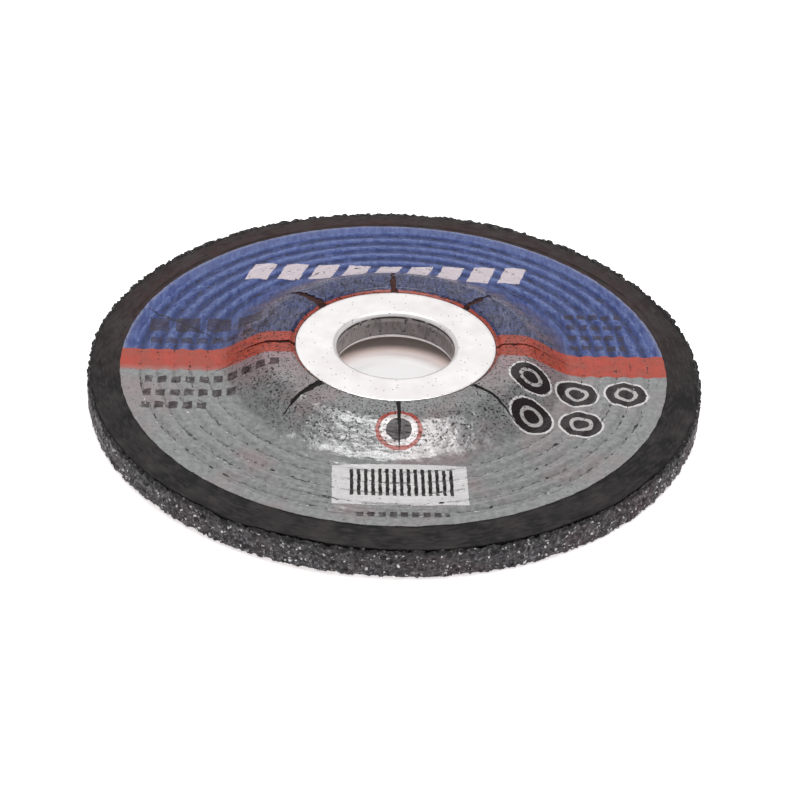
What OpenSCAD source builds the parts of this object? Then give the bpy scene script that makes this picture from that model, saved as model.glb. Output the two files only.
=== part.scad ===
// Depressed-centre grinding disc: a moulded abrasive wheel with a raised hub, a black facing
// sheet, a slit paper label, a pressed steel centre ring and a glass cloth on the grinding face.
// The disc lies flat on its grinding face. The origin is on its axis, in the plane it rests on,
// +Z points out of the label side and +X runs along the label's stripe.

/* [Disc] */
// Outside diameter of the disc
disc_d = 115; // [100:1:180]
// Thickness at the rim, facing sheet included
rim_t = 6; // [4.5:0.5:9]
// Bevel between the rim and the label side
top_bevel = 0.5; // [0.2:0.1:1]
// Bevel between the rim and the grinding face
foot_bevel = 0.4; // [0.2:0.1:1]
// Width of the abrasive ring that the disc rests on
foot_w = 1; // [0.6:0.1:2]

/* [Hub] */
// Height of the hub's flat top above the face
hub_rise = 4.4; // [3:0.1:6]
// Diameter of the hub's flat top
hub_flat_d = 46.6; // [46:0.1:48]
// Radial width of the hub's outer slope
hub_slope_w = 11.1; // [8:0.1:11.5]
// Depth of the recess under the hub, up to the face that the clamping nut meets
recess_depth = 4.3; // [3:0.1:5]
// Diameter of the recess's flat ceiling
recess_flat_d = 43.8; // [42:0.1:46]
// Radial width of the recess's slope
recess_slope_w = 9.6; // [7:0.1:10]
// Share of each slope that is taken up by its rounded shoulder and by its rounded foot
slope_round = 0.3; // [0.15:0.05:0.5]

/* [Ripples] */
// Number of moulded rings round the hub
ripple_count = 5; // [1:1:5]
// Distance from one ring to the next
ripple_pitch = 3.08; // [2:0.02:3.4]
// Depth of the valleys between the rings
ripple_depth = 0.26; // [0.1:0.02:0.5]
// Width of the hub's foot that the first ring takes up
ripple_lap = 0.45; // [0.2:0.05:1]

/* [Sheets] */
// Thickness of the black facing sheet
facing_t = 0.3; // [0.2:0.05:0.6]
// Width of the rim that the facing sheet leaves bare
facing_margin = 0.5; // [0.5:0.1:2]
// Thickness of the paper label
label_t = 0.15; // [0.1:0.05:0.3]
// Diameter of the paper label
label_d = 103; // [100:0.5:104]
// Sideways shift of the label's outline from the disc's axis, along the stripe
label_shift_x = -0.2; // [-0.5:0.1:0.5]
// Sideways shift of the label's outline from the disc's axis, across the stripe
label_shift_y = 0.55; // [-0.6:0.05:0.6]
// Width of the stripe across the label
stripe_w = 7.1; // [4:0.1:10]
// Distance from the disc's axis to the middle line of the stripe and to the cuts' centre
stripe_y = -0.65; // [-3:0.05:3]
// Width of the printed ring that shows round the centre ring
print_ring_w = 0.55; // [0.3:0.05:1]

/* [Printed shapes] */
// Number of leaning bars on the upper field
bar_count = 9; // [4:1:10]
// Length of the row of bars
bars_w = 57; // [50:1:60]
// Distance from the disc's axis to the bars' lower ends
bars_y = 29.5; // [28:0.5:31]
// Width of a bar
bar_w = 4.4; // [2:0.2:4.8]
// Height of a bar
bar_h = 6; // [4:0.5:6.5]
// Sideways lean of a bar over its height
bar_lean = 2; // [0:0.5:3]
// Width of the light panel
panel_w = 23.6; // [16:0.2:26]
// Height of the light panel
panel_h = 11.5; // [8:0.5:12]
// Distance from the disc's axis to the panel's middle
panel_y = -39.2; // [-40:0.1:-38]
// Diameter of the dark spots
spot_d = 8.2; // [5:0.1:8.2]
// Diameter of the round mark
mark_d = 8.4; // [5:0.1:8.4]
// Width of the round mark's border
mark_border = 0.8; // [0.4:0.1:1.5]
// Distance from the disc's axis to the middle of the round mark
mark_y = -25.8; // [-27:0.1:-25]

/* [Label slits] */
// Number of cuts that let the label fold over the hub
slit_count = 8; // [4:1:12]
// Width of a cut beside the centre ring
slit_w = 1.2; // [0.6:0.1:2.4]
// Distance from the cuts' centre to the end of a cut
slit_reach = 30; // [24:0.5:34]

/* [Centre ring] */
// Diameter of the bore
bore_d = 22.23; // [20:0.01:24]
// Diameter of the ring's flange
flange_d = 37.8; // [34:0.1:40]
// Thickness of the ring's sheet steel
ring_t = 0.7; // [0.5:0.1:0.9]
// Depth of the flange's top below the hub's top
flange_sink = 0.65; // [0.2:0.05:1]
// Radial width of the rounded dip from the hub's top down to the flange
dip_w = 1.2; // [0.8:0.1:2]
// Radius of the rolled edge between the flange and the bore
roll_r = 1; // [0.8:0.1:1.5]
// Height of the flared lip at the bore's lower end
lip_h = 0.6; // [0.3:0.1:1]
// Amount by which the lip opens the bore, on the radius
lip_flare = 0.35; // [0.1:0.05:0.5]

/* [Glass cloth] */
// Thickness of the cloth's ground
cloth_t = 0.3; // [0.2:0.05:0.5]
// Height of the threads above the cloth's ground
thread_h = 0.2; // [0.1:0.05:0.3]
// Width of a thread
thread_w = 1.3; // [0.8:0.1:2]
// Distance from one thread to the next
thread_pitch = 5; // [4:0.5:10]
// Distance from the floor to the lowest threads
cloth_lift = 0.15; // [0.1:0.05:0.3]

/* [Fits] */
// Gap round the flange, the label and the edges of the sheets
seat_gap = 0.05; // [0.02:0.01:0.1]

/* [Hidden] */
$fn = 180;

disc_r = disc_d / 2;
bore_r = bore_d / 2;
flange_r = flange_d / 2;
sleeve_r = bore_r + ring_t;
facing_r = disc_r - facing_margin;
label_r = label_d / 2;
seat_r = flange_r + seat_gap;

hub_top_z = rim_t + hub_rise;
flange_z = hub_top_z + label_t - flange_sink;
dip_r = seat_r + dip_w;
dip_depth = flange_sink + seat_gap;
hub_flat_r = hub_flat_d / 2;
hub_foot_r = hub_flat_r + hub_slope_w;
ripple_start_r = hub_foot_r - ripple_lap;
ripple_end_r = ripple_start_r + ripple_count * ripple_pitch;

recess_flat_r = recess_flat_d / 2;
recess_foot_r = recess_flat_r + recess_slope_w;
ground_z = cloth_lift + thread_h;
cloth_r = disc_r - foot_bevel - foot_w;
cloth_edge_r = cloth_r - seat_gap;
thread_rows = floor(cloth_edge_r / thread_pitch);
ceiling_z = recess_depth;

bars_x = -bars_w / 2 - bar_lean / 2;
spot_places = [[24.8, -8.5], [33.5, -10], [42.7, -9.8], [24.2, -18.5], [33.4, -19.5]];

dip_steps = 4;
bend_steps = 4;
ripple_steps = 6;
sheet_space = 2 * flange_z;

// Rises from 0 to 1 with a rounded start and end of the share "slope_round" and a straight middle
function ease(t) =
    let (b = slope_round, m = 1 / (1 - b), u = min(max(t, 0), 1))
    u < b ? m * u * u / (2 * b)
    : u > 1 - b ? 1 - m * (1 - u) * (1 - u) / (2 * b)
    : m * (u - b / 2);

// Depth of the rings' valleys: full cosine waves between the first and the last crest
function ripple(r) =
    r <= ripple_start_r || r >= ripple_end_r ? 0
    : ripple_depth / 2 * (1 - cos(360 * (r - ripple_start_r) / ripple_pitch));

// Height of the facing sheet's upper side: face, slope and hub, less the rings and the flange's dip
function face_z(r) =
    rim_t + hub_rise * ease((hub_foot_r - r) / hub_slope_w)
    - ripple(r) - dip_depth * ease((dip_r - r) / dip_w);

// Height of the cloth's ground at a radius, seen from below
function under_z(r) =
    ground_z + (ceiling_z - ground_z) * ease((recess_foot_r - r) / recess_slope_w);

// Radii at which a slope's section bends: its rounded shoulder, and after a straight middle its foot
function slope_radii(start_r, width) = [
    for (i = [0 : bend_steps]) start_r + width * slope_round * i / bend_steps,
    for (i = [bend_steps : -1 : 0]) start_r + width * (1 - slope_round * i / bend_steps)
];

// Radii at which the label side's section bends; the last bend of the slope gives way to the rings
function face_radii() = [
    for (i = [0 : dip_steps]) seat_r + dip_w * i / dip_steps,
    for (r = slope_radii(hub_flat_r, hub_slope_w)) if (r < ripple_start_r - seat_gap) r,
    for (i = [0 : ripple_steps * ripple_count]) ripple_start_r + ripple_pitch * i / ripple_steps
];

// Section line of the label side from radius a to radius b, raised by "lift"
function face_line(a, b, lift) = [
    [a, face_z(a) + lift],
    for (r = face_radii()) if (r > a && r < b) [r, face_z(r) + lift],
    [b, face_z(b) + lift]
];

// Section line of the grinding side from radius a to radius b, raised by "lift"
function under_line(a, b, lift) = [
    [a, under_z(a) + lift],
    for (r = slope_radii(recess_flat_r, recess_slope_w)) if (r > a && r < b) [r, under_z(r) + lift],
    [b, under_z(b) + lift]
];

function backwards(line) = [for (i = [len(line) - 1 : -1 : 0]) line[i]];

// Sheet that lies on the label side, from height "low" to height "high" above the facing sheet
module face_sheet(a, b, low, high)
    rotate_extrude()
    polygon(concat(face_line(a, b, low), backwards(face_line(a, b, high))));

// Moulded wheel: seat for the flange, hub, rings, bevelled rim, foot ring, bed for the cloth, recess
module abrasive_body() {
    color("#2f2e30")
    rotate_extrude()
    polygon(concat(
        [[sleeve_r, flange_z - ring_t], [seat_r, flange_z - ring_t]],
        face_line(seat_r, facing_r, -facing_t),
        [
            [disc_r, rim_t - facing_t - top_bevel],
            [disc_r, foot_bevel],
            [disc_r - foot_bevel, 0],
            [cloth_r, 0]
        ],
        backwards(under_line(sleeve_r, cloth_r, cloth_t))
    ));
}

// Black sheet pressed over the hub and the rings
module facing_disc() {
    color("#3d3a3b")
    face_sheet(seat_r, facing_r, -facing_t, 0);
}

// Outline of a cut that is widest beside the centre ring and runs out to nothing
module slit_outline()
    polygon([
        [bore_r, -slit_w / 2],
        [flange_r, -slit_w / 2],
        [slit_reach, 0],
        [flange_r, slit_w / 2],
        [bore_r, slit_w / 2]
    ]);

// Outline of a field across the label, between two distances from the disc's axis
module field_outline(y_low, y_high)
    translate([-disc_r, y_low])
    square([disc_d, y_high - y_low]);

// Label paper inside the outline given by the children, with its cuts, bent to the face;
// the outline lies between the radii a and b
module label_paper(a = seat_r, b = facing_r)
    intersection() {
        face_sheet(a, b, 0, label_t);
        linear_extrude(sheet_space)
        difference() {
            intersection() {
                translate([label_shift_x, label_shift_y])
                circle(r = label_r);
                union() children();
            }
            translate([0, stripe_y])
            for (i = [0 : slit_count - 1])
                rotate(360 * i / slit_count)
                slit_outline();
        }
    }

// Outline of the printed ring, filled
module print_ring_outline()
    circle(r = flange_r + print_ring_w);

// Outline of the row of leaning bars on the upper field
module bars_outline()
    for (i = [0 : bar_count - 1])
        translate([bars_x + i * bars_w / bar_count, bars_y])
        polygon([
            [0, 0],
            [bar_w, 0],
            [bar_w + bar_lean, bar_h],
            [bar_lean, bar_h]
        ]);

// Outline of the light panel on the lower field
module panel_outline()
    translate([-panel_w / 2, panel_y - panel_h / 2])
    square([panel_w, panel_h]);

// Outlines of the dark spots on the lower field
module spots_outline()
    for (p = spot_places)
        translate(p)
        circle(r = spot_d / 2);

// Outline of the round mark between the centre ring and the panel, less its border
module mark_outline(border)
    translate([0, mark_y])
    circle(r = mark_d / 2 - border);

// Paper label: a field on each side of the stripe, the stripe with the printed ring, and the
// plain shapes that are printed on the fields
module label() {
    color("#4a5c9c")
    label_paper()
    difference() {
        field_outline(stripe_y + stripe_w / 2, disc_r);
        print_ring_outline();
        bars_outline();
    }

    color("#c25a4c")
    label_paper() {
        field_outline(stripe_y - stripe_w / 2, stripe_y + stripe_w / 2);
        print_ring_outline();
    }

    color("#c25a4c")
    label_paper(dip_r, ripple_start_r)
    difference() {
        mark_outline(0);
        mark_outline(mark_border);
    }

    color("#939596")
    label_paper()
    difference() {
        field_outline(-disc_r, stripe_y - stripe_w / 2);
        print_ring_outline();
        panel_outline();
        spots_outline();
        mark_outline(0);
    }

    color("#e4dfe2")
    label_paper(dip_r, ripple_end_r) {
        bars_outline();
        panel_outline();
        mark_outline(mark_border);
    }

    color("#332c2e")
    label_paper(dip_r, ripple_end_r)
    spots_outline();
}

// Quarter-round points of the rolled edge, from the flange's top down to the bore's wall
function roll_points(steps) = [
    for (i = [0 : steps])
        [bore_r + roll_r - roll_r * sin(90 * i / steps), flange_z - roll_r + roll_r * cos(90 * i / steps)]
];

// Pressed steel ring: flange on the hub, rolled edge, sleeve through the bore, flared lip
module centre_ring() {
    color("#e6e4e2")
    rotate_extrude()
    polygon(concat(
        [[sleeve_r, flange_z - ring_t], [flange_r, flange_z - ring_t], [flange_r, flange_z]],
        roll_points(8),
        [
            [bore_r, ceiling_z + lip_h],
            [bore_r + lip_flare, ceiling_z],
            [sleeve_r, ceiling_z]
        ]
    ));
}

// Row of parallel threads along X, laid on the flat part of the grinding face
module threads(height)
    translate([0, 0, ground_z - height])
    linear_extrude(height)
    intersection() {
        difference() {
            circle(r = cloth_edge_r);
            circle(r = recess_foot_r);
        }
        for (i = [-thread_rows : thread_rows])
            translate([-disc_r, i * thread_pitch - thread_w / 2])
            square([disc_d, thread_w]);
    }

// Open-weave glass cloth on the grinding face: its ground follows the recess, the threads stand proud
module face_cloth() {
    color("#8d8777") {
        rotate_extrude()
        polygon(concat(
            under_line(sleeve_r, cloth_edge_r, 0),
            backwards(under_line(sleeve_r, cloth_edge_r, cloth_t))
        ));
        threads(thread_h);
        rotate([0, 0, 90])
        threads(thread_h / 2);
    }
}

abrasive_body();
facing_disc();
label();
centre_ring();
face_cloth();
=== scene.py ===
"""Looks of a depressed-centre grinding disc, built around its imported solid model.

Lengths are in millimetres and turn to metres where a mesh is made. The disc lies on its grinding
face at Z = 0 with its axis on Z, and +X runs along the label's stripe.
"""

import math

import bpy
import numpy as np
from mathutils import Matrix, Vector


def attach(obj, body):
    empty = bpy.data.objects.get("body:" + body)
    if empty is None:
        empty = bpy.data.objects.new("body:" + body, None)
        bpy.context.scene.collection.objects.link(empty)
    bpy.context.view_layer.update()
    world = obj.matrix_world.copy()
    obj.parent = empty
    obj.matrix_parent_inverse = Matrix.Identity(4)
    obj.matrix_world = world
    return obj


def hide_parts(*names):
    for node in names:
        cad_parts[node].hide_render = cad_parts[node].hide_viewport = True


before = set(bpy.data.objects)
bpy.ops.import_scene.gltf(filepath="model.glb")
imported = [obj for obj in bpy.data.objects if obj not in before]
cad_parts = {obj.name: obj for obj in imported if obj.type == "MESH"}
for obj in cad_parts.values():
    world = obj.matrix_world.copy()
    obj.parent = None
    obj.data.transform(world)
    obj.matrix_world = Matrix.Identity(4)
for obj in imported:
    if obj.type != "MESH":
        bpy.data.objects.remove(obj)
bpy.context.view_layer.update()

# The solid model's sizes
DISC_R = 57.5
RIM_T = 6.0
HUB_RISE, HUB_FLAT_R, HUB_SLOPE_W = 4.4, 23.3, 11.1
RECESS_DEPTH, RECESS_FLAT_R, RECESS_SLOPE_W = 4.3, 21.9, 9.6
SLOPE_ROUND = 0.3
RIPPLE_COUNT, RIPPLE_PITCH, RIPPLE_DEPTH, RIPPLE_START_R = 5, 3.08, 0.26, 33.95
FACING_T, FACING_R = 0.3, 57.0
LABEL_T, LABEL_R, LABEL_X, LABEL_Y = 0.15, 51.4, -0.2, 0.3
STRIPE_W, STRIPE_Y, PRINT_RING_W = 7.1, -0.65, 0.55
BORE_R, FLANGE_R, RING_T, ROLL_R, LIP_H, LIP_FLARE = 11.115, 18.9, 0.7, 1.0, 0.6, 0.35
FLANGE_Z, SEAT_R, DIP_W, DIP_DEPTH = 9.9, 18.95, 1.2, 0.7
GROUND_Z, CLOTH_T, CLOTH_R, FOOT_BEVEL = 0.35, 0.3, 56.1, 0.4
THREAD_W, THREAD_PITCH, THREAD_T = 1.3, 5.0, 0.36

# Each cut of the label: width beside the ring, distance of its tip, raggedness, sideways drift
CUTS = [
    (0.6, 31.0, 0.05, 0.25),
    (1.4, 29.0, 0.30, -0.30),
    (1.3, 31.0, 0.25, 0.10),
    (2.2, 30.0, 0.36, 0.35),
    (1.0, 30.0, 0.10, 0.30),
    (1.8, 29.5, 0.26, -0.25),
    (0.9, 30.5, 0.07, 0.05),
    (0.9, 31.0, 0.06, 0.40),
]

# The print's shapes
BAR_COUNT, BARS_W, BARS_Y, BAR_W, BAR_H, BAR_LEAN = 9, 57.0, 29.5, 4.4, 6.0, 2.0
BARS_X = -BARS_W / 2 - BAR_LEAN / 2
PANEL_W, PANEL_H, PANEL_Y = 23.6, 11.5, -39.2
SPOT_R, MARK_R, MARK_BORDER, MARK_Y = 4.1, 4.2, 0.8, -27.05
SPOTS = [(24.7, -9.9), (33.5, -10.2), (42.7, -10.0), (24.3, -19.4), (33.4, -19.9)]

# Rows of dashes: left, right, low, high, pitch, width of a dash, strength
DASH_ROWS = [
    (-47.0, -23.0, 9.2, 14.0, 6.0, 4.6, 0.8),
    (-46.5, -24.0, 5.0, 7.0, 2.9, 2.1, 0.75),
    (33.0, 44.5, 16.1, 17.8, 2.4, 1.7, 0.8),
    (33.0, 44.5, 12.3, 14.0, 2.4, 1.7, 0.8),
    (33.0, 44.5, 8.6, 10.3, 2.4, 1.7, 0.8),
    (33.0, 44.5, 4.9, 6.6, 2.4, 1.7, 0.8),
    (-46.5, -21.0, -8.4, -6.3, 2.6, 1.7, 0.9),
    (-46.5, -28.5, -12.7, -10.6, 2.6, 1.7, 0.9),
    (-46.5, -34.5, -16.8, -14.7, 2.6, 1.7, 0.9),
    (-8.0, 8.3, -48.4, -47.0, 1.9, 1.2, 0.9),
]

# Thin creases of the paper: start, end, width, sideways wander and strength
CREASES = [
    ((-47.7, 17.2), (-32.2, 5.5), 0.4, 0.35, 0.95),
    ((-20.1, 15.5), (-24.1, 10.5), 0.2, 0.4, 0.8),
    ((21.0, 24.6), (24.6, 26.2), 0.3, 1.1, 0.9),
    ((22.6, 26.6), (24.9, 24.0), 0.35, 0.6, 0.9),
    ((40.6, 24.3), (42.0, 22.8), 0.4, 0.4, 0.9),
    ((-29.3, -2.7), (-33.6, -4.6), 0.2, 0.5, 0.8),
    ((29.6, 0.4), (34.5, -1.2), 0.22, 0.5, 0.8),
]


# Numbers


def ease(t):
    """0 to 1 with a rounded start and end, each SLOPE_ROUND of the way, and a straight middle."""
    b = SLOPE_ROUND
    m = 1 / (1 - b)
    u = np.clip(t, 0, 1)
    rounded = np.where(u < b, m * u * u / (2 * b), 1 - m * (1 - u) ** 2 / (2 * b))
    return np.where((u >= b) & (u <= 1 - b), m * (u - b / 2), rounded)


def face_z(r):
    """Height of the facing sheet's upper side: face, plus the hub, less the rings and the dip."""
    r = np.asarray(r, float)
    wave = RIPPLE_DEPTH / 2 * (1 - np.cos(2 * np.pi * (r - RIPPLE_START_R) / RIPPLE_PITCH))
    rings = (r > RIPPLE_START_R) & (r < RIPPLE_START_R + RIPPLE_COUNT * RIPPLE_PITCH)
    hub = HUB_RISE * ease((HUB_FLAT_R + HUB_SLOPE_W - r) / HUB_SLOPE_W)
    return RIM_T + hub - wave * rings - DIP_DEPTH * ease((SEAT_R + DIP_W - r) / DIP_W)


def under_z(r):
    """Height of the grinding side's cloth: flat near the rim, then up the recess to its ceiling."""
    r = np.asarray(r, float)
    rise = RECESS_DEPTH - GROUND_Z
    return GROUND_Z + rise * ease((RECESS_FLAT_R + RECESS_SLOPE_W - r) / RECESS_SLOPE_W)


def scramble(*keys):
    """Even spread of 0 to 1 from whole numbers, by multiplying and shifting their bits."""
    h = np.zeros(np.broadcast(*keys).shape, np.uint64)
    for key in keys:
        h ^= np.asarray(key).astype(np.int64).astype(np.uint64)
        h *= np.uint64(0x9E3779B97F4A7C15)
        h ^= h >> np.uint64(29)
    h *= np.uint64(0xBF58476D1CE4E5B9)
    h ^= h >> np.uint64(32)
    return (h >> np.uint64(11)).astype(float) / 2.0**53


def smooth_noise(p, size, seed):
    """Values of -1 to 1 at the corners of cubes of that size, blended smoothly between them."""
    q = np.asarray(p, float) / size
    base = np.floor(q)
    f = q - base
    f = f * f * (3 - 2 * f)
    total = np.zeros(q.shape[:-1])
    for corner in np.ndindex(2, 2, 2):
        c = np.array(corner)
        weight = np.prod(np.where(c == 1, f, 1 - f), axis=-1)
        key = base + c
        total += weight * scramble(key[..., 0], key[..., 1], key[..., 2], seed)
    return total * 2 - 1


def grains(p, size, seed):
    """Height of packed grains: each cube holds one grain at a random place, and a point takes the
    random height of the nearest grain, less the square of its distance from that grain."""
    q = np.asarray(p, float) / size
    base = np.floor(q)
    best = np.full(q.shape[:-1], 9.0)
    height = np.zeros(q.shape[:-1])
    for corner in np.ndindex(3, 3, 3):
        key = base + np.array(corner) - 1
        k = [key[..., i] for i in range(3)]
        spot = key + np.stack([scramble(*k, seed + i) for i in range(3)], -1)
        d = np.sum((spot - q) ** 2, -1)
        nearer = d < best
        best = np.where(nearer, d, best)
        height = np.where(nearer, scramble(*k, seed + 9), height)
    return height - best


# Meshes


def quads_of(rows, cols, wrap_rows, wrap_cols):
    """Four-cornered faces of a grid of rows by cols points, joined round where it wraps."""
    i = np.arange(rows if wrap_rows else rows - 1)
    j = np.arange(cols if wrap_cols else cols - 1)
    i, j = np.meshgrid(i, j, indexing="ij")
    a, b = i * cols + j, i * cols + (j + 1) % cols
    c, d = (i + 1) % rows * cols + (j + 1) % cols, (i + 1) % rows * cols + j
    return np.stack([a, b, c, d], -1).reshape(-1, 4)


def outward(verts, faces):
    """The faces, turned over if the volume that they enclose comes out negative."""
    v = verts[faces]
    volume = sum(
        np.einsum("ij,ij->i", v[:, 0], np.cross(v[:, k], v[:, k + 1])).sum() for k in (1, 2)
    )
    return faces if volume > 0 else faces[:, ::-1]


def piece(name, verts, faces, material, node, sharp=40):
    """Shown mesh that stands for a node of the solid model, with edges sharp above an angle."""
    mesh = bpy.data.meshes.new(name)
    mesh.from_pydata((verts * 0.001).tolist(), [], outward(verts, faces).tolist())
    mesh.shade_smooth()
    if sharp:
        mesh.set_sharp_from_angle(angle=math.radians(sharp))
    mesh.materials.append(material)
    obj = bpy.data.objects.new(name, mesh)
    bpy.context.scene.collection.objects.link(obj)
    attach(obj, "root")
    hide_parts(node)
    return obj


def revolve(section, count):
    """Grid of points: each row is a section point (radius, height) carried round the axis."""
    a = np.arange(count) * 2 * np.pi / count
    s = np.asarray(section, float)
    return np.stack(
        [s[:, :1] * np.cos(a), s[:, :1] * np.sin(a), np.repeat(s[:, 1:], count, 1)], -1
    )


def abrasive_body(material):
    """Moulded wheel. Its section turns round the axis, with a gap under the facing sheet's edge on
    the near side and a crown of grit beyond that edge on the far side. Two sizes of packed grains
    push the rim, the foot and the underside out along the section's own direction."""
    count = 1280
    hidden = [(r, float(face_z(r)) - FACING_T) for r in (SEAT_R, 20.2, 23.5, 26, 30, 33, 36, 44, 52, 55.6)]
    shoulder = [(56.3, 5.55), (56.7, 5.3), (57.0, 5.35), (57.2, 5.4), (57.34, 5.2), (57.4, 4.95), (57.4, 4.7)]
    rim = [(57.4, z) for z in np.linspace(4.52, FOOT_BEVEL, 20)]
    foot = [(57.26, 0.22), (57.0, 0.1), (56.7, 0.06), (56.35, 0.08)]
    below = [(r, float(under_z(r)) + 0.14) for r in np.linspace(CLOTH_R, BORE_R + RING_T, 26)]
    sleeve = [(BORE_R + RING_T, z) for z in (6.0, 7.6, FLANGE_Z - RING_T)]
    section = np.array(hidden + shoulder + rim + foot + below + sleeve)
    crown = [(56.3, 5.55), (56.7, 5.45), (57.05, 5.7), (57.25, 5.98), (57.45, 6.0), (57.52, 5.6), (57.48, 5.0)]
    crowned = np.array(hidden + crown + rim + foot + below + sleeve)
    grit = np.array([0] * 10 + [0.2, 0.6, 1.2, 1.5, 1.4, 1.2, 1] + [1] * 20 + [0.7, 0.5, 0.4, 0.5] + [0.5] * 25 + [0] * 4)
    ahead, behind = np.roll(section, -1, 0), np.roll(section, 1, 0)
    along = ahead - behind
    push = np.stack([-along[:, 1], along[:, 0]], -1)
    push *= -1 / np.linalg.norm(push, axis=1, keepdims=True)
    far = np.clip((np.sin(np.arange(count) * 2 * np.pi / count) + 0.12) / 0.3, 0, 1)[:, None]
    grid = revolve(section, count) * (1 - far) + revolve(crowned, count) * far
    fine = np.array([0] * 10 + [0.2, 0.6, 1.0, 1.2, 1.2, 1.1, 1.0] + [1] * 20 + list(grit[37:]))
    bump = 0.42 * (grains(grid, 1.0, 11) - 0.35) + 0.2 * (grains(grid, 0.55, 31) - 0.35)
    bump += 0.12 * smooth_noise(grid, 6.0, 5)
    bump = np.clip(bump, -0.34, 0.3) * (grit[:, None] * (1 - far[:, 0]) + fine[:, None] * far[:, 0])
    a = np.arange(count) * 2 * np.pi / count
    grid[..., 0] += bump * push[:, :1] * np.cos(a)
    grid[..., 1] += bump * push[:, :1] * np.sin(a)
    grid[..., 2] += bump * push[:, 1:]
    grid[..., 2] = np.maximum(grid[..., 2], 0.0)
    faces = quads_of(len(section), count, True, True)
    return piece("abrasive_wheel", grid.reshape(-1, 3), faces, material, "abrasive_body", 0)


def facing_disc(material):
    """Black sheet over the hub and the rings, with a slightly wavy, sagging outer edge."""
    count = 512
    radii = np.concatenate([
        np.linspace(SEAT_R, SEAT_R + DIP_W, 6),
        np.arange(SEAT_R + DIP_W + 0.5, 49.6, 0.4),
        np.arange(50.2, 56.0, 0.55),
        [56.3, 56.6, 56.85, 56.97],
    ])
    top = [(r, float(face_z(r)) - 0.02 * (r > 56.9)) for r in radii]
    low = [(FACING_R, 5.93), (FACING_R, 5.78)]
    bottom = [(r, float(face_z(r)) - FACING_T) for r in radii[::-1] if r < 56.9]
    section = np.array(top + low + bottom)
    grid = revolve(section, count)
    a = np.arange(count) * 2 * np.pi / count
    round_place = np.stack([np.cos(a), np.sin(a), 0 * a], -1) * FACING_R
    wave = 0.16 * smooth_noise(round_place, 7.0, 3) + 0.1 * smooth_noise(round_place, 1.6, 4)
    near_edge = np.clip((section[:, 0] - 55.2) / 1.8, 0, 1)[:, None] ** 2
    grid[..., 0] += wave * near_edge * np.cos(a)
    grid[..., 1] += wave * near_edge * np.sin(a)
    band = np.clip((section[:, 0] - 51.8) / 1.5, 0, 1)[:, None]
    grid[..., 2] += near_edge * (0.1 * smooth_noise(round_place, 9.0, 6) - 0.1)
    grid[..., 2] += band * 0.05 * smooth_noise(grid, 4.0, 8)
    groove = np.exp(-(((section[:, :1] - 53.0) / 0.5) ** 2))
    grid[..., 2] -= 0.08 * groove * (0.6 + 0.4 * smooth_noise(round_place, 15.0, 9))
    faces = quads_of(len(section), count, True, True)
    return piece("facing_sheet", grid.reshape(-1, 3), faces, material, "facing_disc", 50)


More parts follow.
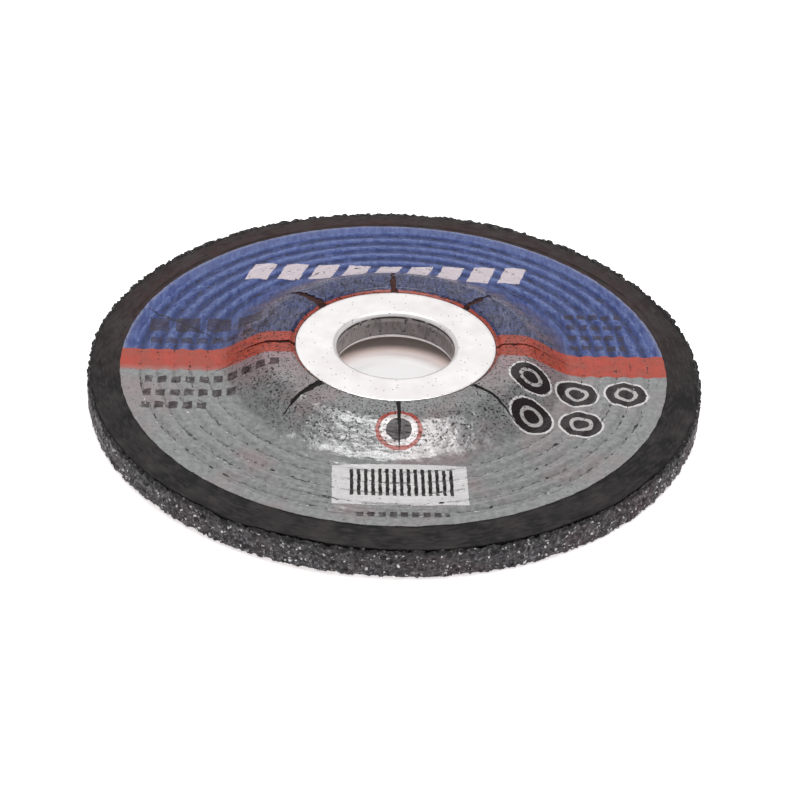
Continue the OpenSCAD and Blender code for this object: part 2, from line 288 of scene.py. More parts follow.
def paper_label(material):
    """Slit paper label. Eight sheets between neighbouring cuts are laid out from the cuts' centre
    and share their points beyond the cuts' tips; the height follows the facing sheet."""
    across = 40
    share = np.linspace(0, 1, across + 1)
    steps = np.concatenate([np.linspace(0, 0.04, 7)[:-1], np.linspace(0.04, 1, 100)])
    points, faces = [], []

    def cut_edge(k, rho, side):
        """Sideways place of a cut's edge: a taper to its tip, ragged, on a drifting middle line."""
        width, tip, rough, drift = CUTS[k % 8]
        left = np.clip((tip - rho) / (tip - FLANGE_R), 0, 1)
        place = np.stack([rho, 0 * rho + 40.0 * k + 7 * side, 0 * rho], -1)
        tear_and_valley_shade = rough * (smooth_noise(place, 0.9, 21) + 0.7 * smooth_noise(place, 0.35, 22))
        half = (width / 2 * left**0.7 + tear_and_valley_shade * np.minimum(1, 4 * left)) * (left > 0)
        middle = drift * np.sin(np.pi * np.clip((rho - FLANGE_R) / (tip - FLANGE_R), 0, 1))
        return middle + side * np.maximum(half, 0.04 * (left > 0))

    for k in range(8):
        theta = np.radians(45) * (k + share)
        u = np.stack([np.cos(theta), np.sin(theta)], -1)
        inner = reach((0, STRIPE_Y), u, (0, 0), SEAT_R)
        outer = reach((0, STRIPE_Y), u, (LABEL_X, LABEL_Y), LABEL_R)
        outer += 0.09 * smooth_noise(np.stack([u[:, 0], u[:, 1], 0 * theta], -1) * LABEL_R, 1.5, 61)
        rho = inner + steps[:, None] * (outer - inner)
        first, last = cut_edge(k, rho[:, 0], 1), cut_edge(k + 1, rho[:, -1], -1)
        turn = (first[:, None] * (1 - share) + last[:, None] * share) / rho
        x = rho * np.cos(theta + turn)
        y = STRIPE_Y + rho * np.sin(theta + turn)
        edge = np.minimum(share * 1.0, 1 - share) * rho * np.radians(45)
        curl = 0.1 * np.exp(-edge / 0.7) * (rho < 28.5)
        faces.append(quads_of(len(steps), across + 1, False, False) + k * len(steps) * (across + 1))
        points.append(np.stack([x, y, curl], -1).reshape(-1, 3))
    points, faces = np.concatenate(points), np.concatenate(faces)
    _, first, back = np.unique(np.round(points[:, :2], 4), axis=0, return_index=True, return_inverse=True)
    points, faces = points[first], back.reshape(-1)[faces]
    r = np.hypot(points[:, 0], points[:, 1])
    flat = np.stack([points[:, 0], points[:, 1], 0 * r], -1)
    rub = 0.035 * smooth_noise(flat, 1.3, 41) + 0.02 * smooth_noise(flat, 0.6, 42)
    top, low = flat.copy(), flat.copy()
    top[:, 2] = face_z(r) + LABEL_T + points[:, 2] + rub * (r < 51)
    low[:, 2] = face_z(r) + 0.01
    pairs = np.concatenate([faces[:, [i, (i + 1) % 4]] for i in range(4)])
    _, where, uses = np.unique(np.sort(pairs, 1), axis=0, return_index=True, return_counts=True)
    rim = pairs[where[uses == 1]]
    n = len(top)
    walls = np.stack([rim[:, 1], rim[:, 0], rim[:, 0] + n, rim[:, 1] + n], -1)
    faces = np.concatenate([faces, faces[:, ::-1] + n, walls])
    return piece("paper_label", np.concatenate([top, low]), faces, material, "label", 50)


def reach(start, u, centre, radius):
    """Distance from a start point along directions u to a circle round centre."""
    d = np.subtract(start, centre)
    b = u @ d
    return -b + np.sqrt(b * b - d @ d + radius**2)


def centre_ring(material):
    """Pressed ring: crowned flange with a soft outer edge, rolled into a sleeve with a flared lip."""
    sleeve_r = BORE_R + RING_T
    turn = np.radians(np.linspace(0, 90, 13))
    flange = [(18.86, FLANGE_Z - 0.16), (18.8, FLANGE_Z - 0.06), (18.68, FLANGE_Z - 0.01), (18.4, FLANGE_Z)]
    crown = [(r, FLANGE_Z + 0.03 * math.sin(math.pi * (18.4 - r) / 6.2)) for r in np.linspace(17.6, 12.8, 9)]
    roll = [(BORE_R + ROLL_R * (1 - math.sin(t)), FLANGE_Z - ROLL_R * (1 - math.cos(t))) for t in turn]
    wall = [(BORE_R, z) for z in np.linspace(FLANGE_Z - ROLL_R - 0.5, RECESS_DEPTH + LIP_H, 6)]
    lip = [
        (BORE_R + 0.04, RECESS_DEPTH + LIP_H - 0.14),
        (BORE_R + 0.16, RECESS_DEPTH + 0.2),
        (BORE_R + LIP_FLARE, RECESS_DEPTH + 0.02),
        (BORE_R + LIP_FLARE + 0.12, RECESS_DEPTH),
        (sleeve_r - 0.04, RECESS_DEPTH + 0.02),
        (sleeve_r, RECESS_DEPTH + 0.12),
    ]
    back = [(sleeve_r, 6.5), (sleeve_r, FLANGE_Z - RING_T), (FLANGE_R - 0.1, FLANGE_Z - RING_T)]
    grid = revolve(flange + crown + roll + wall + lip + back + [(FLANGE_R - 0.02, FLANGE_Z - 0.4)], 320)
    faces = quads_of(grid.shape[0], grid.shape[1], True, True)
    return piece("pressed_ring", grid.reshape(-1, 3), faces, material, "centre_ring", 35)


def face_cloth(material):
    """Woven glass cloth: flattened threads, oval in section, that pass over and under each other
    as a cosine of their place in the weave and follow the grinding side's recess."""
    limit = CLOTH_R - 0.2
    rows = int(limit // THREAD_PITCH)
    oval = np.arange(8) * 2 * np.pi / 8
    verts, faces, start = [], [], 0
    for turned in (0, 1):
        for i in range(-rows, rows + 1):
            side = i * THREAD_PITCH + 0.12 * (scramble(np.array([i + 50]), np.array([turned]))[0] - 0.5)
            half = math.sqrt(limit**2 - side**2)
            hole = BORE_R + RING_T + 0.3
            ends = [(-half, half)]
            if abs(side) < hole:
                inner = math.sqrt(hole**2 - side**2)
                ends = [(-half, -inner), (inner, half)]
            for low, high in ends:
                s = np.linspace(low, high, max(4, int((high - low) / 1.25)))
                sign = 1 if (i + turned) % 2 else -1
                weave = 0.07 * sign * np.cos(np.pi * s / THREAD_PITCH)
                drift = side + 0.1 * smooth_noise(np.stack([s, 0 * s + side * 3, 0 * s + 90 * turned], -1), 9.0, 51)
                wide = THREAD_W / 2 * (1 + 0.1 * smooth_noise(np.stack([s, 0 * s + side, 0 * s], -1), 3.0, 52))
                wide[[0, -1]] *= 0.5
                middle = under_z(np.hypot(s, drift)) + 0.02 + weave
                across = drift[:, None] + wide[:, None] * np.cos(oval)
                height = middle[:, None] + THREAD_T / 2 * np.sin(oval)
                along = np.repeat(s[:, None], 8, 1)
                xy = (across, along) if turned else (along, across)
                verts.append(np.stack([*xy, height], -1).reshape(-1, 3))
                side_faces = quads_of(len(s), 8, False, True)
                if turned:
                    side_faces = side_faces[:, ::-1]
                last = (len(s) - 1) * 8
                caps = [[0, 1, 2, 3], [0, 3, 4, 7], [4, 5, 6, 7]]
                caps = np.array(caps if turned else [c[::-1] for c in caps])
                faces += [side_faces + start, caps + start, caps[:, ::-1] + last + start]
                start += len(s) * 8
    return piece("glass_cloth", np.concatenate(verts), np.concatenate(faces), material, "face_cloth", 0)


# Materials


def linear(text):
    """Linear colour of an sRGB hex value."""
    parts = [int(text[i : i + 2], 16) / 255 for i in (1, 3, 5)]
    return tuple(c / 12.92 if c <= 0.04045 else ((c + 0.055) / 1.055) ** 2.4 for c in parts) + (1.0,)


def add(tree, kind, *feeds, **settings):
    """Adds a node with its settings. Each feed is an input and what goes into it: another node,
    one of its outputs, a hex colour or a plain value."""
    node = tree.nodes.new("ShaderNode" + kind)
    for name, value in settings.items():
        setattr(node, name, value)
    for socket, value in feeds:
        if isinstance(value, bpy.types.Node):
            value = next(out for out in value.outputs if out.enabled)
        if isinstance(value, bpy.types.NodeSocket):
            tree.links.new(value, node.inputs[socket])
        else:
            node.inputs[socket].default_value = linear(value) if isinstance(value, str) else value
    return node


def new_material(name):
    """Empty node material: its tree, its shader and the place on the object in millimetres."""
    material = bpy.data.materials.new(name)
    material.use_nodes = True
    tree = material.node_tree
    tree.nodes.clear()
    shader = add(tree, "BsdfPrincipled")
    add(tree, "OutputMaterial", (0, shader))
    place = add(tree, "TexCoord").outputs["Object"]
    mm = add(tree, "VectorMath", (0, place), (3, 1000.0), operation="SCALE")
    return material, tree, shader, mm


def finish_shader(tree, shader, colour, roughness, bumps):
    """Feeds a shader's colour, roughness and bumps from nodes."""
    for name, node in (("Base Color", colour), ("Roughness", roughness), ("Normal", bumps)):
        tree.links.new(next(out for out in node.outputs if out.enabled), shader.inputs[name])


def paint(tree, colour, *coats):
    """Lays coats over a colour in turn. Each coat is a tone and one or more masks of 0 to 1,
    whose product says how much of the tone shows."""
    for tone, *masks in coats:
        shown = masks[0]
        for mask in masks[1:]:
            shown = add(tree, "Math", (0, shown), (1, mask), operation="MULTIPLY")
        colour = add(tree, "Mix", (0, shown), (6, colour), (7, tone), data_type="RGBA")
    return colour


def clouds(tree, place, size, low, high, least=0.0, most=1.0, detail=3.0):
    """Blotches about that many millimetres across: noise that gives least up to low, most from
    high on, and a blend between them."""
    cloudy = add(tree, "TexNoise", (0, place), ("Scale", 1 / size), ("Detail", detail))
    return add(tree, "MapRange", (0, cloudy), (1, low), (2, high), (3, least), (4, most))


def zone(tree, *spans):
    """1 where every value lies between its two limits, else 0."""
    inside = [
        add(tree, "Math", (0, value), (1, (low + high) / 2), (2, (high - low) / 2), operation="COMPARE")
        for value, low, high in spans
    ]
    mask = inside[0]
    for part in inside[1:]:
        mask = add(tree, "Math", (0, mask), (1, part), operation="MULTIPLY")
    return mask


def dashes(tree, x, pitch, width):
    """1 on upright bars of an even pitch and width."""
    turn = add(tree, "Math", (0, x), (1, 1 / pitch), operation="MULTIPLY")
    part = add(tree, "Math", (0, turn), operation="FRACT")
    return zone(tree, (part, 0.0, width / pitch))


def spots(tree, flat, x, y, steps):
    """Coats of round spots about one middle, from the largest radius to the smallest."""
    away = add(tree, "VectorMath", (0, flat), (1, (x, y, 0)), operation="DISTANCE")
    return [(tone, add(tree, "Math", (0, away), (1, size), operation="LESS_THAN")) for size, tone in steps]


def specks(tree, place, size, radius, share, shift):
    """1 on small round dots: one dot in each cell of that size, of which a share is kept."""
    moved = add(tree, "VectorMath", (0, place), (1, (shift, 0, shift)), operation="ADD")
    cell = add(tree, "TexVoronoi", (0, moved), ("Scale", 1 / size))
    near = add(tree, "Math", (0, cell), (1, radius / size), operation="LESS_THAN")
    pick = add(tree, "SeparateColor", (0, cell.outputs["Color"]))
    kept = add(tree, "Math", (0, pick), (1, share), operation="LESS_THAN")
    return add(tree, "Math", (0, near), (1, kept), operation="MULTIPLY")


def crease(tree, flat, mm, start, end, width, wander):
    """1 along a straight line from start to end, broken up and carried sideways by noise."""
    ux, uy = np.subtract(end, start) / math.dist(start, end)
    away = add(tree, "VectorMath", (0, flat), (1, (*start, 0)), operation="SUBTRACT")
    run = add(tree, "VectorMath", (0, away), (1, (ux, uy, 0)), operation="DOT_PRODUCT")
    off = add(tree, "VectorMath", (0, away), (1, (-uy, ux, 0)), operation="DOT_PRODUCT")
    stray = clouds(tree, mm, 2.5, 0, 1, -wander, wander, 2)
    off = add(tree, "Math", (0, off), (1, stray), operation="ADD")
    line = zone(tree, (run, 0, math.dist(start, end)), (off, -width / 2, width / 2))
    return add(tree, "Math", (0, line), (1, clouds(tree, mm, 1.8, 0.7, 0.56)), operation="MULTIPLY")


def plan(tree, place):
    """Parts of a place seen from above: x, y, the flat place, its radius, and the place measured
    along the rings, where distances across them count three times."""
    parts = add(tree, "SeparateXYZ", (0, place))
    x, y = parts.outputs[0], parts.outputs[1]
    flat = add(tree, "CombineXYZ", (0, x), (1, y))
    radius = add(tree, "VectorMath", (0, flat), operation="LENGTH")
    unit = add(tree, "VectorMath", (0, flat), operation="NORMALIZE")
    arc = add(tree, "VectorMath", (0, unit), (3, 42.0), operation="SCALE")
    lift = add(tree, "Math", (0, radius), (1, 3.0), operation="MULTIPLY")
    lift = add(tree, "CombineXYZ", (2, lift))
    return x, y, flat, radius, add(tree, "VectorMath", (0, arc), (1, lift), operation="ADD")


def grit_material():
    """Resin-bonded alumina grit: dark grains of uneven tone with painted glints on random facets,
    black pits of painted shade, and painted shade towards the rim's top under the facing's edge.
    """
    material, tree, shader, mm = new_material("bonded_alumina_grit")
    parts = add(tree, "SeparateXYZ", (0, mm))
    cell = add(tree, "TexVoronoi", (0, mm), ("Scale", 1 / 0.55))
    tone = add(tree, "SeparateColor", (0, cell.outputs["Color"]))
    facet = add(tree, "TexVoronoi", (0, mm), ("Scale", 1 / 0.38))
    shine = add(tree, "SeparateColor", (0, facet.outputs["Color"])).outputs[1]
    right = add(tree, "MapRange", (0, parts.outputs[0]), (1, -20), (2, 45), (3, 0.35), (4, 0.9))
    shade_under_facing = add(tree, "MapRange", (0, parts.outputs[2]), (1, 3.2), (2, 5.2))
    crown = add(tree, "MapRange", (0, parts.outputs[2]), (1, 5.2), (2, 5.55))
    colour = paint(
        tree, "#1e1e20",
        ("#525053", add(tree, "MapRange", (0, tone), (1, 0.1), (2, 0.95))),
        ("#4a383e", clouds(tree, mm, 13, 0.46, 0.6), right),
        # Painted glints: random facets painted pale, a few painted white
        ("#8a888b", add(tree, "MapRange", (0, shine), (1, 0.82), (2, 0.88), (4, 0.6))),
        ("#dddcde", add(tree, "MapRange", (0, shine), (1, 0.95), (2, 0.965))),
        # Painted shade: small black pits
        ("#0a0a0b", clouds(tree, mm, 0.5, 0.46, 0.36, detail=2)),
        # Painted shade under the facing's edge: darker towards the rim's top, darkest on its crown
        ("#060606", shade_under_facing, clouds(tree, mm, 0.9, 0.6, 0.44, detail=2)),
        ("#131011", crown, 0.85),
    )
    bumps = add(tree, "Bump", ("Strength", 0.9), ("Distance", 0.0002), ("Height", clouds(tree, mm, 0.35, 0, 1)))
    rough = add(tree, "MapRange", (0, tone.outputs[1]), (3, 0.35), (4, 0.8))
    finish_shader(tree, shader, colour, rough, bumps)
    return material


def facing_material():
    """Black resin-soaked paper: near-black with a painted warm reflection on its far side, dull and
    faintly fibrous, with painted shade along a pressed groove beside the label on the far side, and brown patches in
    the label's cuts on the far side."""
    material, tree, shader, mm = new_material("black_facing_paper")
    x, y, _, radius, along = plan(tree, mm)
    far = add(tree, "MapRange", (0, y), (1, -10), (2, 35))
    left = add(tree, "MapRange", (0, x), (1, 35), (2, -30), (3, 0.7))
    beside = add(tree, "MapRange", (0, radius), (1, 54.4), (2, 52.8))
    inside = add(tree, "MapRange", (0, radius), (1, 36), (2, 33))
    colour = paint(
        tree, "#181718",
        # Painted warm reflection on the far side, strongest to the left and beside the label
        ("#302b2a", far, 0.55),
        ("#432f2e", far, left, add(tree, "MapRange", (0, radius), (1, 55.4), (2, 53.8), (3, 0.4), (4, 0.75))),
        ("#3a2423", far, beside, 0.8),
        ("#3d3838", clouds(tree, mm, 5, 0.42, 0.7, most=0.7, detail=4)),
        ("#3f3a3a", clouds(tree, along, 1.6, 0.48, 0.68, most=0.6)),
        ("#0f0e0f", clouds(tree, along, 1.7, 0.47, 0.3, most=0.6)),
        # Painted shade along the pressed groove on the far side
        ("#100b0b", zone(tree, (radius, 52.5, 53.1)), far, clouds(tree, along, 5, 0.35, 0.55, most=0.8)),
        ("#140f0f", inside),
        ("#56302a", inside, far, clouds(tree, mm, 0.8, 0.3, 0.55)),
    )
    fibres = add(tree, "VectorMath", (0, mm), (1, (1.0, 0.25, 1.0)), operation="MULTIPLY")
    bumps = add(tree, "Bump", ("Strength", 0.6), ("Distance", 0.0003), ("Height", clouds(tree, fibres, 1.6, 0, 1, detail=5)))
    finish_shader(tree, shader, colour, clouds(tree, mm, 3, 0.3, 0.7, 0.52, 0.68), bumps)
    shader.inputs["Specular IOR Level"].default_value = 0.16
    return material


def label_material():
    """Printed semi-gloss paper pressed on grit: fields of blue, red and grey with plain shapes,
    creased along the rings and rubbed to black specks where grains press through. The rings carry painted shade in
    their valleys and painted highlights on their crests and rims, the blue is painted lighter towards the far side,
    and painted shade darkens the printed ring's near side."""
    material, tree, shader, mm = new_material("printed_paper")
    jitter = add(tree, "TexNoise", (0, mm), ("Scale", 1 / 0.8), ("Detail", 1.0)).outputs[1]
    shift = add(tree, "VectorMath", (0, jitter), (1, (0.5, 0.5, 0.5)), operation="SUBTRACT")
    shift = add(tree, "VectorMath", (0, shift), (3, 0.3), operation="SCALE")
    shift = add(tree, "VectorMath", (0, shift), (1, mm), operation="ADD")
    x, y, flat, radius, along = plan(tree, shift)
    slanted = add(tree, "Mapping", (0, mm), ("Rotation", (0, 0, math.radians(-40))), ("Scale", (1, 0.25, 1)))

    # Fields: the hub's paper is rubbed, and so is its shoulder on the blue side
    stripe_low, stripe_top = STRIPE_Y - STRIPE_W / 2, STRIPE_Y + STRIPE_W / 2
    upper = zone(tree, (y, stripe_top, DISC_R))
    stripe = zone(tree, (y, stripe_low, stripe_top))
    lower = zone(tree, (y, -DISC_R, stripe_low))
    hub = add(tree, "MapRange", (0, radius), (1, 34), (2, 29))
    shoulder = add(tree, "MapRange", (0, radius), (1, 26), (2, 28.5))
    phase = add(tree, "Math", (0, radius), (1, 1 / RIPPLE_PITCH), (2, -RIPPLE_START_R / RIPPLE_PITCH), operation="MULTIPLY_ADD")
    phase = add(tree, "Math", (0, phase), operation="FRACT")
    rings = zone(tree, (radius, RIPPLE_START_R + 0.4, RIPPLE_START_R + RIPPLE_COUNT * RIPPLE_PITCH))
    hollow = add(tree, "Math", (0, phase), (1, 0.5), operation="SUBTRACT")
    hollow = add(tree, "Math", (0, hollow), operation="ABSOLUTE")
    crest = add(tree, "MapRange", (0, hollow), (1, 0.22), (2, 0.45))
    hollow = add(tree, "MapRange", (0, hollow), (1, 0.32), (2, 0.1))
    blue = paint(
        tree, "#1d3070",
        ("#4d5d92", clouds(tree, slanted, 0.8, 0.36, 0.66)),
        ("#3f4a70", clouds(tree, mm, 9, 0.35, 0.7, most=0.4)),
        # Painted light: the blue lighter towards the far side
        ("#6a77a8", add(tree, "MapRange", (0, y), (1, 22), (2, 36), (4, 0.25))),
        # Painted shade in the rings' valleys and painted highlights on their crests
        ("#14204f", rings, hollow, clouds(tree, along, 3, 0.3, 0.55, 0.15, 0.85)),
        ("#7080ae", rings, crest, clouds(tree, along, 1.1, 0.42, 0.6, most=0.6)),
        ("#4b4a5e", hub, clouds(tree, mm, 3.5, 0.3, 0.65, 0.4, 0.9)),
        ("#70565a", hub, shoulder, clouds(tree, mm, 3.0, 0.4, 0.58, most=0.8)),
        ("#7b7d98", hub, clouds(tree, slanted, 0.6, 0.55, 0.7, most=0.5)),
        ("#171a33", hub, clouds(tree, slanted, 0.5, 0.48, 0.36, most=0.9)),
    )
    red = paint(
        tree, "#ad4335",
        ("#98483b", clouds(tree, mm, 2.5, 0.35, 0.7, detail=4)),
        ("#8f3a29", hub, clouds(tree, mm, 1.4, 0.4, 0.6, most=0.7)),
        ("#95807d", add(tree, "MapRange", (0, y), (1, stripe_low + 1.8), (2, stripe_low)),
         add(tree, "MapRange", (0, x), (1, -26), (2, -38), (4, 0.6))),
    )
    grey = paint(
        tree, "#656666",
        ("#828383", clouds(tree, mm, 1.0, 0.34, 0.66, detail=5)),
        ("#816b6e", clouds(tree, mm, 11, 0.5, 0.66, most=0.55)),
        ("#8b6d72", hub, add(tree, "MapRange", (0, y), (1, -15), (2, -5), (4, 0.85))),
        ("#5b5b5a", hub, clouds(tree, mm, 2.0, 0.5, 0.66, most=0.6)),
    )
    edge = add(tree, "VectorMath", (0, flat), (1, (LABEL_X, LABEL_Y, 0)), operation="DISTANCE")
    fringe = add(tree, "MapRange", (0, edge), (1, LABEL_R - 0.9), (2, LABEL_R - 0.1), (4, 0.8))
    colour = paint(
        tree, grey,
        (red, stripe),
        (blue, upper),
        ("#8489a2", upper, fringe, clouds(tree, along, 1.2, 0.35, 0.6, 0.3, 1)),
    )

    # Row of leaning light bars across the blue field
    lean = add(tree, "Math", (0, y), (1, -BAR_LEAN / BAR_H), (2, BARS_Y * BAR_LEAN / BAR_H - BARS_X), operation="MULTIPLY_ADD")
    upright = add(tree, "Math", (0, x), (1, lean), operation="ADD")
    coats = [("#c6bbc1", zone(tree, (upright, 0, BARS_W), (y, BARS_Y, BARS_Y + BAR_H)),
              dashes(tree, upright, BARS_W / BAR_COUNT, BAR_W))]

    # Rows of dark dashes, unevenly inked
    faded = clouds(tree, mm, 1.4, 0.7, 0.42, 0.6, 1)
    for x0, x1, y0, y1, pitch, width, strength in DASH_ROWS:
        coats.append(("#2a1a21", zone(tree, (x, x0, x1), (y, y0, y1)), dashes(tree, x, pitch, width), faded, strength))

    # Dark spots with a pale rim and a pale ring on each, the round mark, and the light panel
    for cx, cy in SPOTS:
        coats += spots(tree, flat, cx, cy, (
            (SPOT_R + 0.1, "#cbc7c7"), (SPOT_R - 0.32, "#241b1e"), (2.2, "#a5a1a1"), (1.45, "#241b1e")))
    squat = add(tree, "VectorMath", (0, flat), (1, (1.0, 1.15, 1.0)), operation="MULTIPLY")
    coats += spots(tree, squat, 0, MARK_Y * 1.15, (
        (MARK_R, "#a04237"), (MARK_R - MARK_BORDER, "#b5aaaa"), (2.3, "#33282c")))
    coats.append(("#c9c7c7", zone(
        tree, (x, -PANEL_W / 2, PANEL_W / 2), (y, PANEL_Y - PANEL_H / 2, PANEL_Y + PANEL_H / 2))))
    coats.append(("#1a1617", zone(tree, (x, -9.2, 9.4), (y, -42.4, -34.6)), dashes(tree, x, 1.24, 0.62)))

    # Printed ring, darkened on the near side by painted shade of the gap beside the flange
    near = add(tree, "MapRange", (0, y), (1, -3), (2, -12), (4, 0.95))
    printed = zone(tree, (radius, 0, FLANGE_R + PRINT_RING_W))
    coats += [("#9e483b", printed), ("#1d1718", printed, near, clouds(tree, mm, 1.2, 0.3, 0.5, 0.5, 1))]
    for start, end, width, wander, strength in CREASES:
        coats.append(("#120e11", crease(tree, flat, mm, start, end, width, wander), strength))

    # Painted relief of the rings: painted shade along their valleys, in bands and sparse dark flecks, and painted
    # highlights in bright flecks on the rims beyond them
    tear_and_valley_shade = zone(tree, (phase, 0.4, 0.6))
    rims = zone(tree, (phase, 0.56, 0.7))
    coats += [
        ("#3b3a3b", lower, rings, zone(tree, (phase, 0.4, 0.58)), clouds(tree, along, 5, 0.42, 0.62, most=0.55)),
        ("#2b2a2b", lower, rings, zone(tree, (phase, 0.5, 0.56)), clouds(tree, along, 4, 0.5, 0.57, most=0.65)),
        ("#110f10", rings, tear_and_valley_shade, clouds(tree, along, 1.2, 0.58, 0.63, detail=2)),
        ("#eceaea", lower, rings, rims, clouds(tree, along, 0.8, 0.665, 0.71, detail=2)),
        # Grains that press through: black specks, thickest on the hub
        ("#141213", specks(tree, mm, 0.9, 0.13, 0.3, 0.0), 0.85),
        ("#1a1718", clouds(tree, mm, 0.42, 0.69, 0.73, detail=2), clouds(tree, mm, 4, 0.4, 0.6, 0.2, 1)),
        ("#151112", hub, specks(tree, mm, 0.75, 0.17, 0.42, 3.0), 0.95),
        ("#171415", hub, clouds(tree, mm, 0.42, 0.6, 0.635, detail=1), 0.95),
    ]
    colour = paint(tree, colour, *coats)

    # Relief that breaks up the gloss: fibres, grains, and streaks along the hub's foot; bare grey
    # paper is glossier than the inks
    height = add(tree, "Math", (0, clouds(tree, mm, 0.45, 0, 0.22)), (1, clouds(tree, mm, 1.6, 0, 1, detail=1.5)), operation="ADD")
    inward = add(tree, "MapRange", (0, radius), (1, 37), (2, 33.5))
    streaks = add(tree, "Math", (0, clouds(tree, along, 3.0, 0, 0.6)), (1, inward), operation="MULTIPLY")
    height = add(tree, "Math", (0, streaks), (1, height), operation="ADD")
    bumps = add(tree, "Bump", ("Strength", 0.6), ("Distance", 0.00014), ("Height", height))
    finish_shader(tree, shader, colour, clouds(tree, mm, 1.5, 0.3, 0.7, 0.22, 0.34), bumps)
    tone = add(tree, "SeparateColor", (0, colour)).outputs[1]
    bare = add(tree, "MapRange", (0, tone), (1, 0.04), (2, 0.13))
    bare = add(tree, "Math", (0, bare), (1, lower), operation="MULTIPLY")
    gloss = add(tree, "MapRange", (0, bare), (3, 0.22), (4, 1.0))
    tree.links.new(gloss.outputs[0], shader.inputs["Specular IOR Level"])
    return material


def steel_material():
    """Bright pressed sheet steel: pale, softly brushed by handling, with grit stuck in specks. The
    sleeve's wall is dull and darker, lighter towards its left as painted light, and its flared lip stays pale and is
    made nearly non-metallic, a painted reflection of the floor."""
    material, tree, shader, mm = new_material("pressed_sheet_steel")
    parts = add(tree, "SeparateXYZ", (0, mm))
    height = parts.outputs[2]
    wall = add(tree, "MapRange", (0, height), (1, 9.3), (2, 8.6))
    above_lip = add(tree, "MapRange", (0, height), (1, 5.0), (2, 5.12))
    upright = add(tree, "VectorMath", (0, mm), (1, (1.0, 1.0, 0.4)), operation="MULTIPLY")
    stuck = clouds(tree, mm, 0.9, 0.6, 0.66, detail=4)
    stuck = add(tree, "Math", (0, wall), (1, stuck), operation="MULTIPLY")
    stuck = add(tree, "Math", (0, above_lip), (1, stuck), operation="MULTIPLY")
    dirt = specks(tree, mm, 0.8, 0.12, 0.42, 1.0)
    colour = paint(
        tree, "#ebe6e5",
        ("#f8f5f4", clouds(tree, mm, 4, 0.3, 0.7)),
        ("#3a3435", dirt, 0.85),
        # The sleeve's wall darker above the lip
        ("#6f6462", wall, above_lip, 0.9),
        # Painted light: the wall lighter towards the left
        ("#a8a09e", wall, above_lip, add(tree, "MapRange", (0, parts.outputs[0]), (1, -1), (2, -9), (4, 0.75))),
        ("#a8a09e", wall, above_lip, clouds(tree, upright, 1.8, 0.5, 0.7, most=0.5)),
        ("#c4bcba", zone(tree, (height, 8.0, 8.7)), clouds(tree, mm, 3, 0.3, 0.6, 0.2, 0.8)),
        ("#3b3433", wall, above_lip, clouds(tree, upright, 1.1, 0.46, 0.34, most=0.45)),
        ("#141112", stuck),
        ("#1d191a", zone(tree, (height, 8.7, 9.1)), clouds(tree, mm, 1.6, 0.36, 0.46)),
        ("#4a3f3c", zone(tree, (height, 5.08, 5.26)), clouds(tree, mm, 3, 0.3, 0.5)),
    )
    metal = add(tree, "Math", (0, stuck), (1, 0.5), operation="LESS_THAN")
    # Painted reflection: the lip stays pale and is made nearly non-metallic
    lip = add(tree, "MapRange", (0, height), (1, 4.95), (2, 5.1), (3, 0.15), (4, 1))
    metal = add(tree, "Math", (0, metal), (1, lip), operation="MULTIPLY")
    roll = add(tree, "MapRange", (0, height), (1, 9.84), (2, 9.6), (3, 1), (4, 0.1))
    metal = add(tree, "Math", (0, metal), (1, roll), operation="MULTIPLY")
    bumps = add(tree, "Bump", ("Strength", 0.25), ("Distance", 0.00008), ("Height", clouds(tree, mm, 1.6, 0, 1)))
    finish_shader(tree, shader, colour, clouds(tree, mm, 3, 0.3, 0.7, 0.36, 0.42), bumps)
    tree.links.new(metal.outputs[0], shader.inputs["Metallic"])
    return material


def cloth_material():
    """Glass yarn soaked in brown resin: straw to brown, with fine filaments and a soft gloss."""
    material, tree, shader, mm = new_material("resin_soaked_glass_yarn")
    colour = paint(
        tree, "#6e6552",
        ("#8f866f", clouds(tree, mm, 2.5, 0.3, 0.7, detail=4)),
        ("#2c2826", clouds(tree, mm, 1.1, 0.6, 0.72)),
    )
    bumps = add(tree, "Bump", ("Strength", 0.6), ("Distance", 0.0001), ("Height", clouds(tree, mm, 0.3, 0, 1)))
    finish_shader(tree, shader, colour, clouds(tree, mm, 2, 0.3, 0.7, 0.5, 0.6), bumps)
    return material


def floor_material():
    """White paper sweep that glows evenly beyond the disc so that it stays white there. Under the disc it carries
    painted shade, and where it shows through the bore, a painted glow round the bore's edge that fades to a warm
    painted shadow farther under the disc.
    """
    material, tree, shader, mm = new_material("white_paper")
    away = add(tree, "VectorMath", (0, mm), operation="LENGTH")
    shaded = add(tree, "MapRange", (0, away), (1, 52), (2, 40))
    colour = paint(tree, "#f4f3f3", ("#ebeaea", shaded))
    glow = add(tree, "MapRange", (0, away), (1, 40), (2, 52), (3, 0.0), (4, 0.6))
    # Painted glow round the bore's edge, fading to painted shadow farther under the disc
    bore = add(tree, "MapRange", (0, away), (1, 8.4), (2, 13.2), (3, 0.05), (4, 0.62), interpolation_type="SMOOTHSTEP")
    under = add(tree, "MapRange", (0, away), (1, 15.8), (2, 12.4), (3, 0.08), (4, 1), interpolation_type="SMOOTHSTEP")
    bore = add(tree, "Math", (0, bore), (1, under), operation="MULTIPLY")
    glow = add(tree, "Math", (0, glow), (1, bore), operation="ADD")
    # Warm tint of the painted shadow under the disc
    warm = add(tree, "MapRange", (0, away), (1, 10), (2, 15))
    tint = paint(tree, "#fffafa", ("#f0cfc5", warm, add(tree, "Math", (0, away), (1, 40), operation="LESS_THAN")))
    tree.links.new(tint.outputs[2], shader.inputs["Emission Color"])
    tree.links.new(colour.outputs[2], shader.inputs["Base Color"])
    tree.links.new(glow.outputs[0], shader.inputs["Emission Strength"])
    shader.inputs["Roughness"].default_value = 0.9
    return material


# Pieces

wheel = abrasive_body(grit_material())
facing = facing_disc(facing_material())
label = paper_label(label_material())
ring = centre_ring(steel_material())
cloth = face_cloth(cloth_material())

# Floor, camera and light

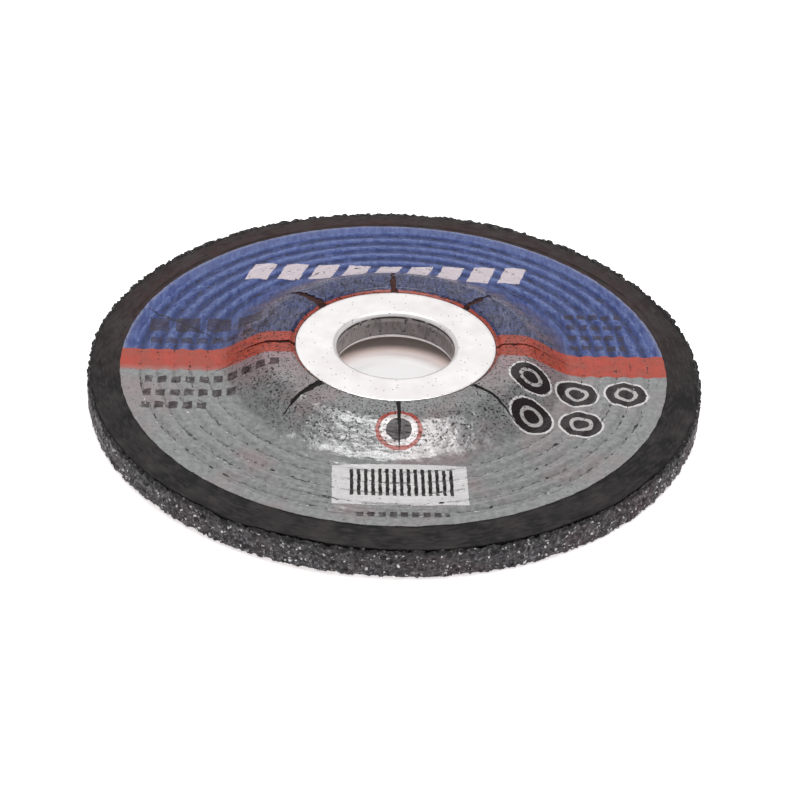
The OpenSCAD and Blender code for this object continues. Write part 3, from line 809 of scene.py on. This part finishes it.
floor_mesh = bpy.data.meshes.new("floor")
reach_m = 3.0
floor_mesh.from_pydata(
    [(-reach_m, -reach_m, 0), (reach_m, -reach_m, 0), (reach_m, reach_m, 0), (-reach_m, reach_m, 0)],
    [], [(0, 1, 2, 3)],
)
floor_mesh.materials.append(floor_material())
floor = bpy.data.objects.new("floor", floor_mesh)
floor.location.z = -0.00003
bpy.context.scene.collection.objects.link(floor)


def camera_matrix(elevation, roll, heading, away, side, lift):
    """Place of a camera that looks down at the axis from an elevation, turned by roll in its own
    picture and by heading about the axis; away, side and lift are its distances in millimetres."""
    e, t = math.radians(elevation), math.radians(roll)
    ahead = Vector((0, math.cos(e), -math.sin(e)))
    right, up = Vector((1, 0, 0)), Vector((0, math.sin(e), math.cos(e)))
    across = right * math.cos(t) + up * math.sin(t)
    upward = up * math.cos(t) - right * math.sin(t)
    place = (-away * ahead - side * across - lift * upward) * 0.001
    matrix = Matrix((across, upward, -ahead)).transposed().to_4x4()
    matrix.translation = place
    return Matrix.Rotation(math.radians(heading), 4, "Z") @ matrix


camera_data = bpy.data.cameras.new("camera")
camera_data.lens = 92.864
camera_data.sensor_width = 36.0
camera_data.clip_start = 0.01
camera_data.clip_end = 20.0
camera = bpy.data.objects.new("camera", camera_data)
camera.matrix_world = camera_matrix(34.0167, 2.4552, -2.7, 393.246, -1.1404, 2.2959)
bpy.context.scene.collection.objects.link(camera)
bpy.context.scene.camera = camera


def area_light(name, place, size, power):
    """Soft light of a width and a height at a place in metres, turned to the disc."""
    data = bpy.data.lights.new(name, "AREA")
    data.shape = "RECTANGLE"
    data.size, data.size_y = size
    data.energy = power
    obj = bpy.data.objects.new(name, data)
    obj.location = place
    obj.rotation_euler = (-Vector(place)).to_track_quat("-Z", "Y").to_euler()
    bpy.context.scene.collection.objects.link(obj)


area_light("overhead_strip", (0.01, 0.025, 0.7), (0.54, 0.2), 4.15)
area_light("side", (-0.1, -0.9, 0.5), (0.5, 0.5), 0.6)
area_light("backdrop", (0.0, 1.4, 0.95), (1.6, 1.0), 4.6)

world = bpy.data.worlds.new("studio")
world.use_nodes = True
world.node_tree.nodes["Background"].inputs[0].default_value = (1.0, 1.0, 1.0, 1.0)
world.node_tree.nodes["Background"].inputs[1].default_value = 0.24
bpy.context.scene.world = world
bpy.context.scene.view_settings.view_transform = "Standard"
